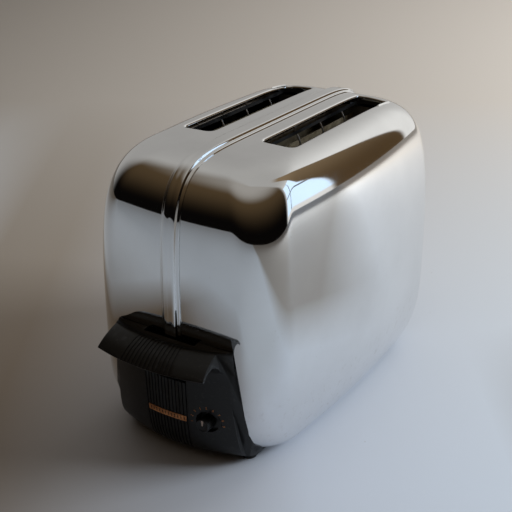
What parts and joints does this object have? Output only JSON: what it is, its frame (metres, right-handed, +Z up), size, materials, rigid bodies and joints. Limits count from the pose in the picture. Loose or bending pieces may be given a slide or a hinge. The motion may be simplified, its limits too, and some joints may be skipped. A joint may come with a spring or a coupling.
{
  "type": "two-slot automatic toaster",
  "caption": "Automatic toaster: rounded chrome body with bread slots in the roof, black moulded end panels with carry handles, browning control, lifting racks and hinged crumb tray.",
  "frame": {"origin": "middle of the footprint, on the plane that the feet rest on", "axes": "+Z up, -Y towards the control end, X across the slots with the seam at X = 0"},
  "size_m": [0.156, 0.31, 0.1996],
  "materials": {
    "chrome": "polished",
    "moulding": "satin",
    "knob_moulding": "gloss",
    "copper_plate": "brushed",
    "tick_paint": "matte",
    "pointer_paint": "satin",
    "pan_steel": "painted",
    "chassis_steel": "galvanised",
    "bright_steel": "plated",
    "liner_steel": "heat-dulled",
    "mica": "matte",
    "heater_alloy": "oxidised",
    "wire_steel": "dull",
    "spring_steel": "satin",
    "rubber": "matte",
    "fibre": "matte",
    "gear_steel": "cast",
    "coil_copper": "enamelled",
    "brass": "bare",
    "ceramic": "matte"
  },
  "bodies": {
    "chassis": {"left_shell": "chrome", "right_shell": "chrome", "centre_band": "chrome", "front_panel": "moulding", "rear_panel": "moulding", "nameplate": "copper_plate", "dial_ticks": "tick_paint", "bimetal_strip": "brass", "bimetal_bracket": "chassis_steel", "base_pan": "pan_steel", "tray_hinge_pin": "bright_steel", "feet": "rubber", "foot_screws": "bright_steel", "panel_screws": "bright_steel", "front_chassis_plate": "chassis_steel", "rear_chassis_plate": "chassis_steel", "slot_liner_left": "liner_steel", "slot_liner_right": "liner_steel", "heater_card_left_outer": "mica", "heater_card_left_inner": "mica", "heater_card_right_inner": "mica", "heater_card_right_outer": "mica", "heater_ribbon_left_outer": "heater_alloy", "heater_ribbon_left_inner": "heater_alloy", "heater_ribbon_right_inner": "heater_alloy", "heater_ribbon_right_outer": "heater_alloy", "guard_wires_left": "wire_steel", "guard_wires_right": "wire_steel", "guide_rod": "bright_steel", "lift_spring": "spring_steel", "gear_case": "gear_steel", "lift_motor": "gear_steel", "magnet_core": "gear_steel", "magnet_coil": "coil_copper", "contact_block": "fibre", "contact_leaves": "brass", "terminal_block": "ceramic", "cord_inlet_bushing": "rubber"},
    "carriage": {"bread_rack_left": "wire_steel", "bread_rack_right": "wire_steel", "carriage_crosshead": "bright_steel", "lift_rack": "fibre"},
    "pinion": {"lift_pinion": "fibre"},
    "control": {"control_knob": "knob_moulding", "knob_pointer": "pointer_paint", "knob_shaft": "bright_steel"},
    "crumb_door": {"crumb_tray": "chassis_steel", "tray_catch": "spring_steel"}
  },
  "joints": [
    {"name": "carriage_slide", "type": "slide", "parent": "chassis", "child": "carriage", "axis": [0, 0, 1], "range_m": [-0.062, 0], "stiffness_N_per_m": 60, "springref_m": 0.03, "deforming": ["lift_spring"]},
    {"name": "pinion_spin", "type": "hinge", "parent": "chassis", "child": "pinion", "pos_m": [0.0295, -0.0617, 0.114], "axis": [0, 1, 0], "range_deg": [-298, 1]},
    {"name": "control_turn", "type": "hinge", "parent": "chassis", "child": "control", "pos_m": [0.0294, -0.13, 0.0338], "axis": [0, 1, 0], "range_deg": [-120, 120]},
    {"name": "crumb_door_hinge", "type": "hinge", "parent": "chassis", "child": "crumb_door", "pos_m": [0, 0.07598, 0.0064], "axis": [1, 0, 0], "range_deg": [0, 85]}
  ],
  "couplings": [
    {"joint": "pinion_spin", "follows": "carriage_slide", "rad_per_m": 83.333}
  ]
}
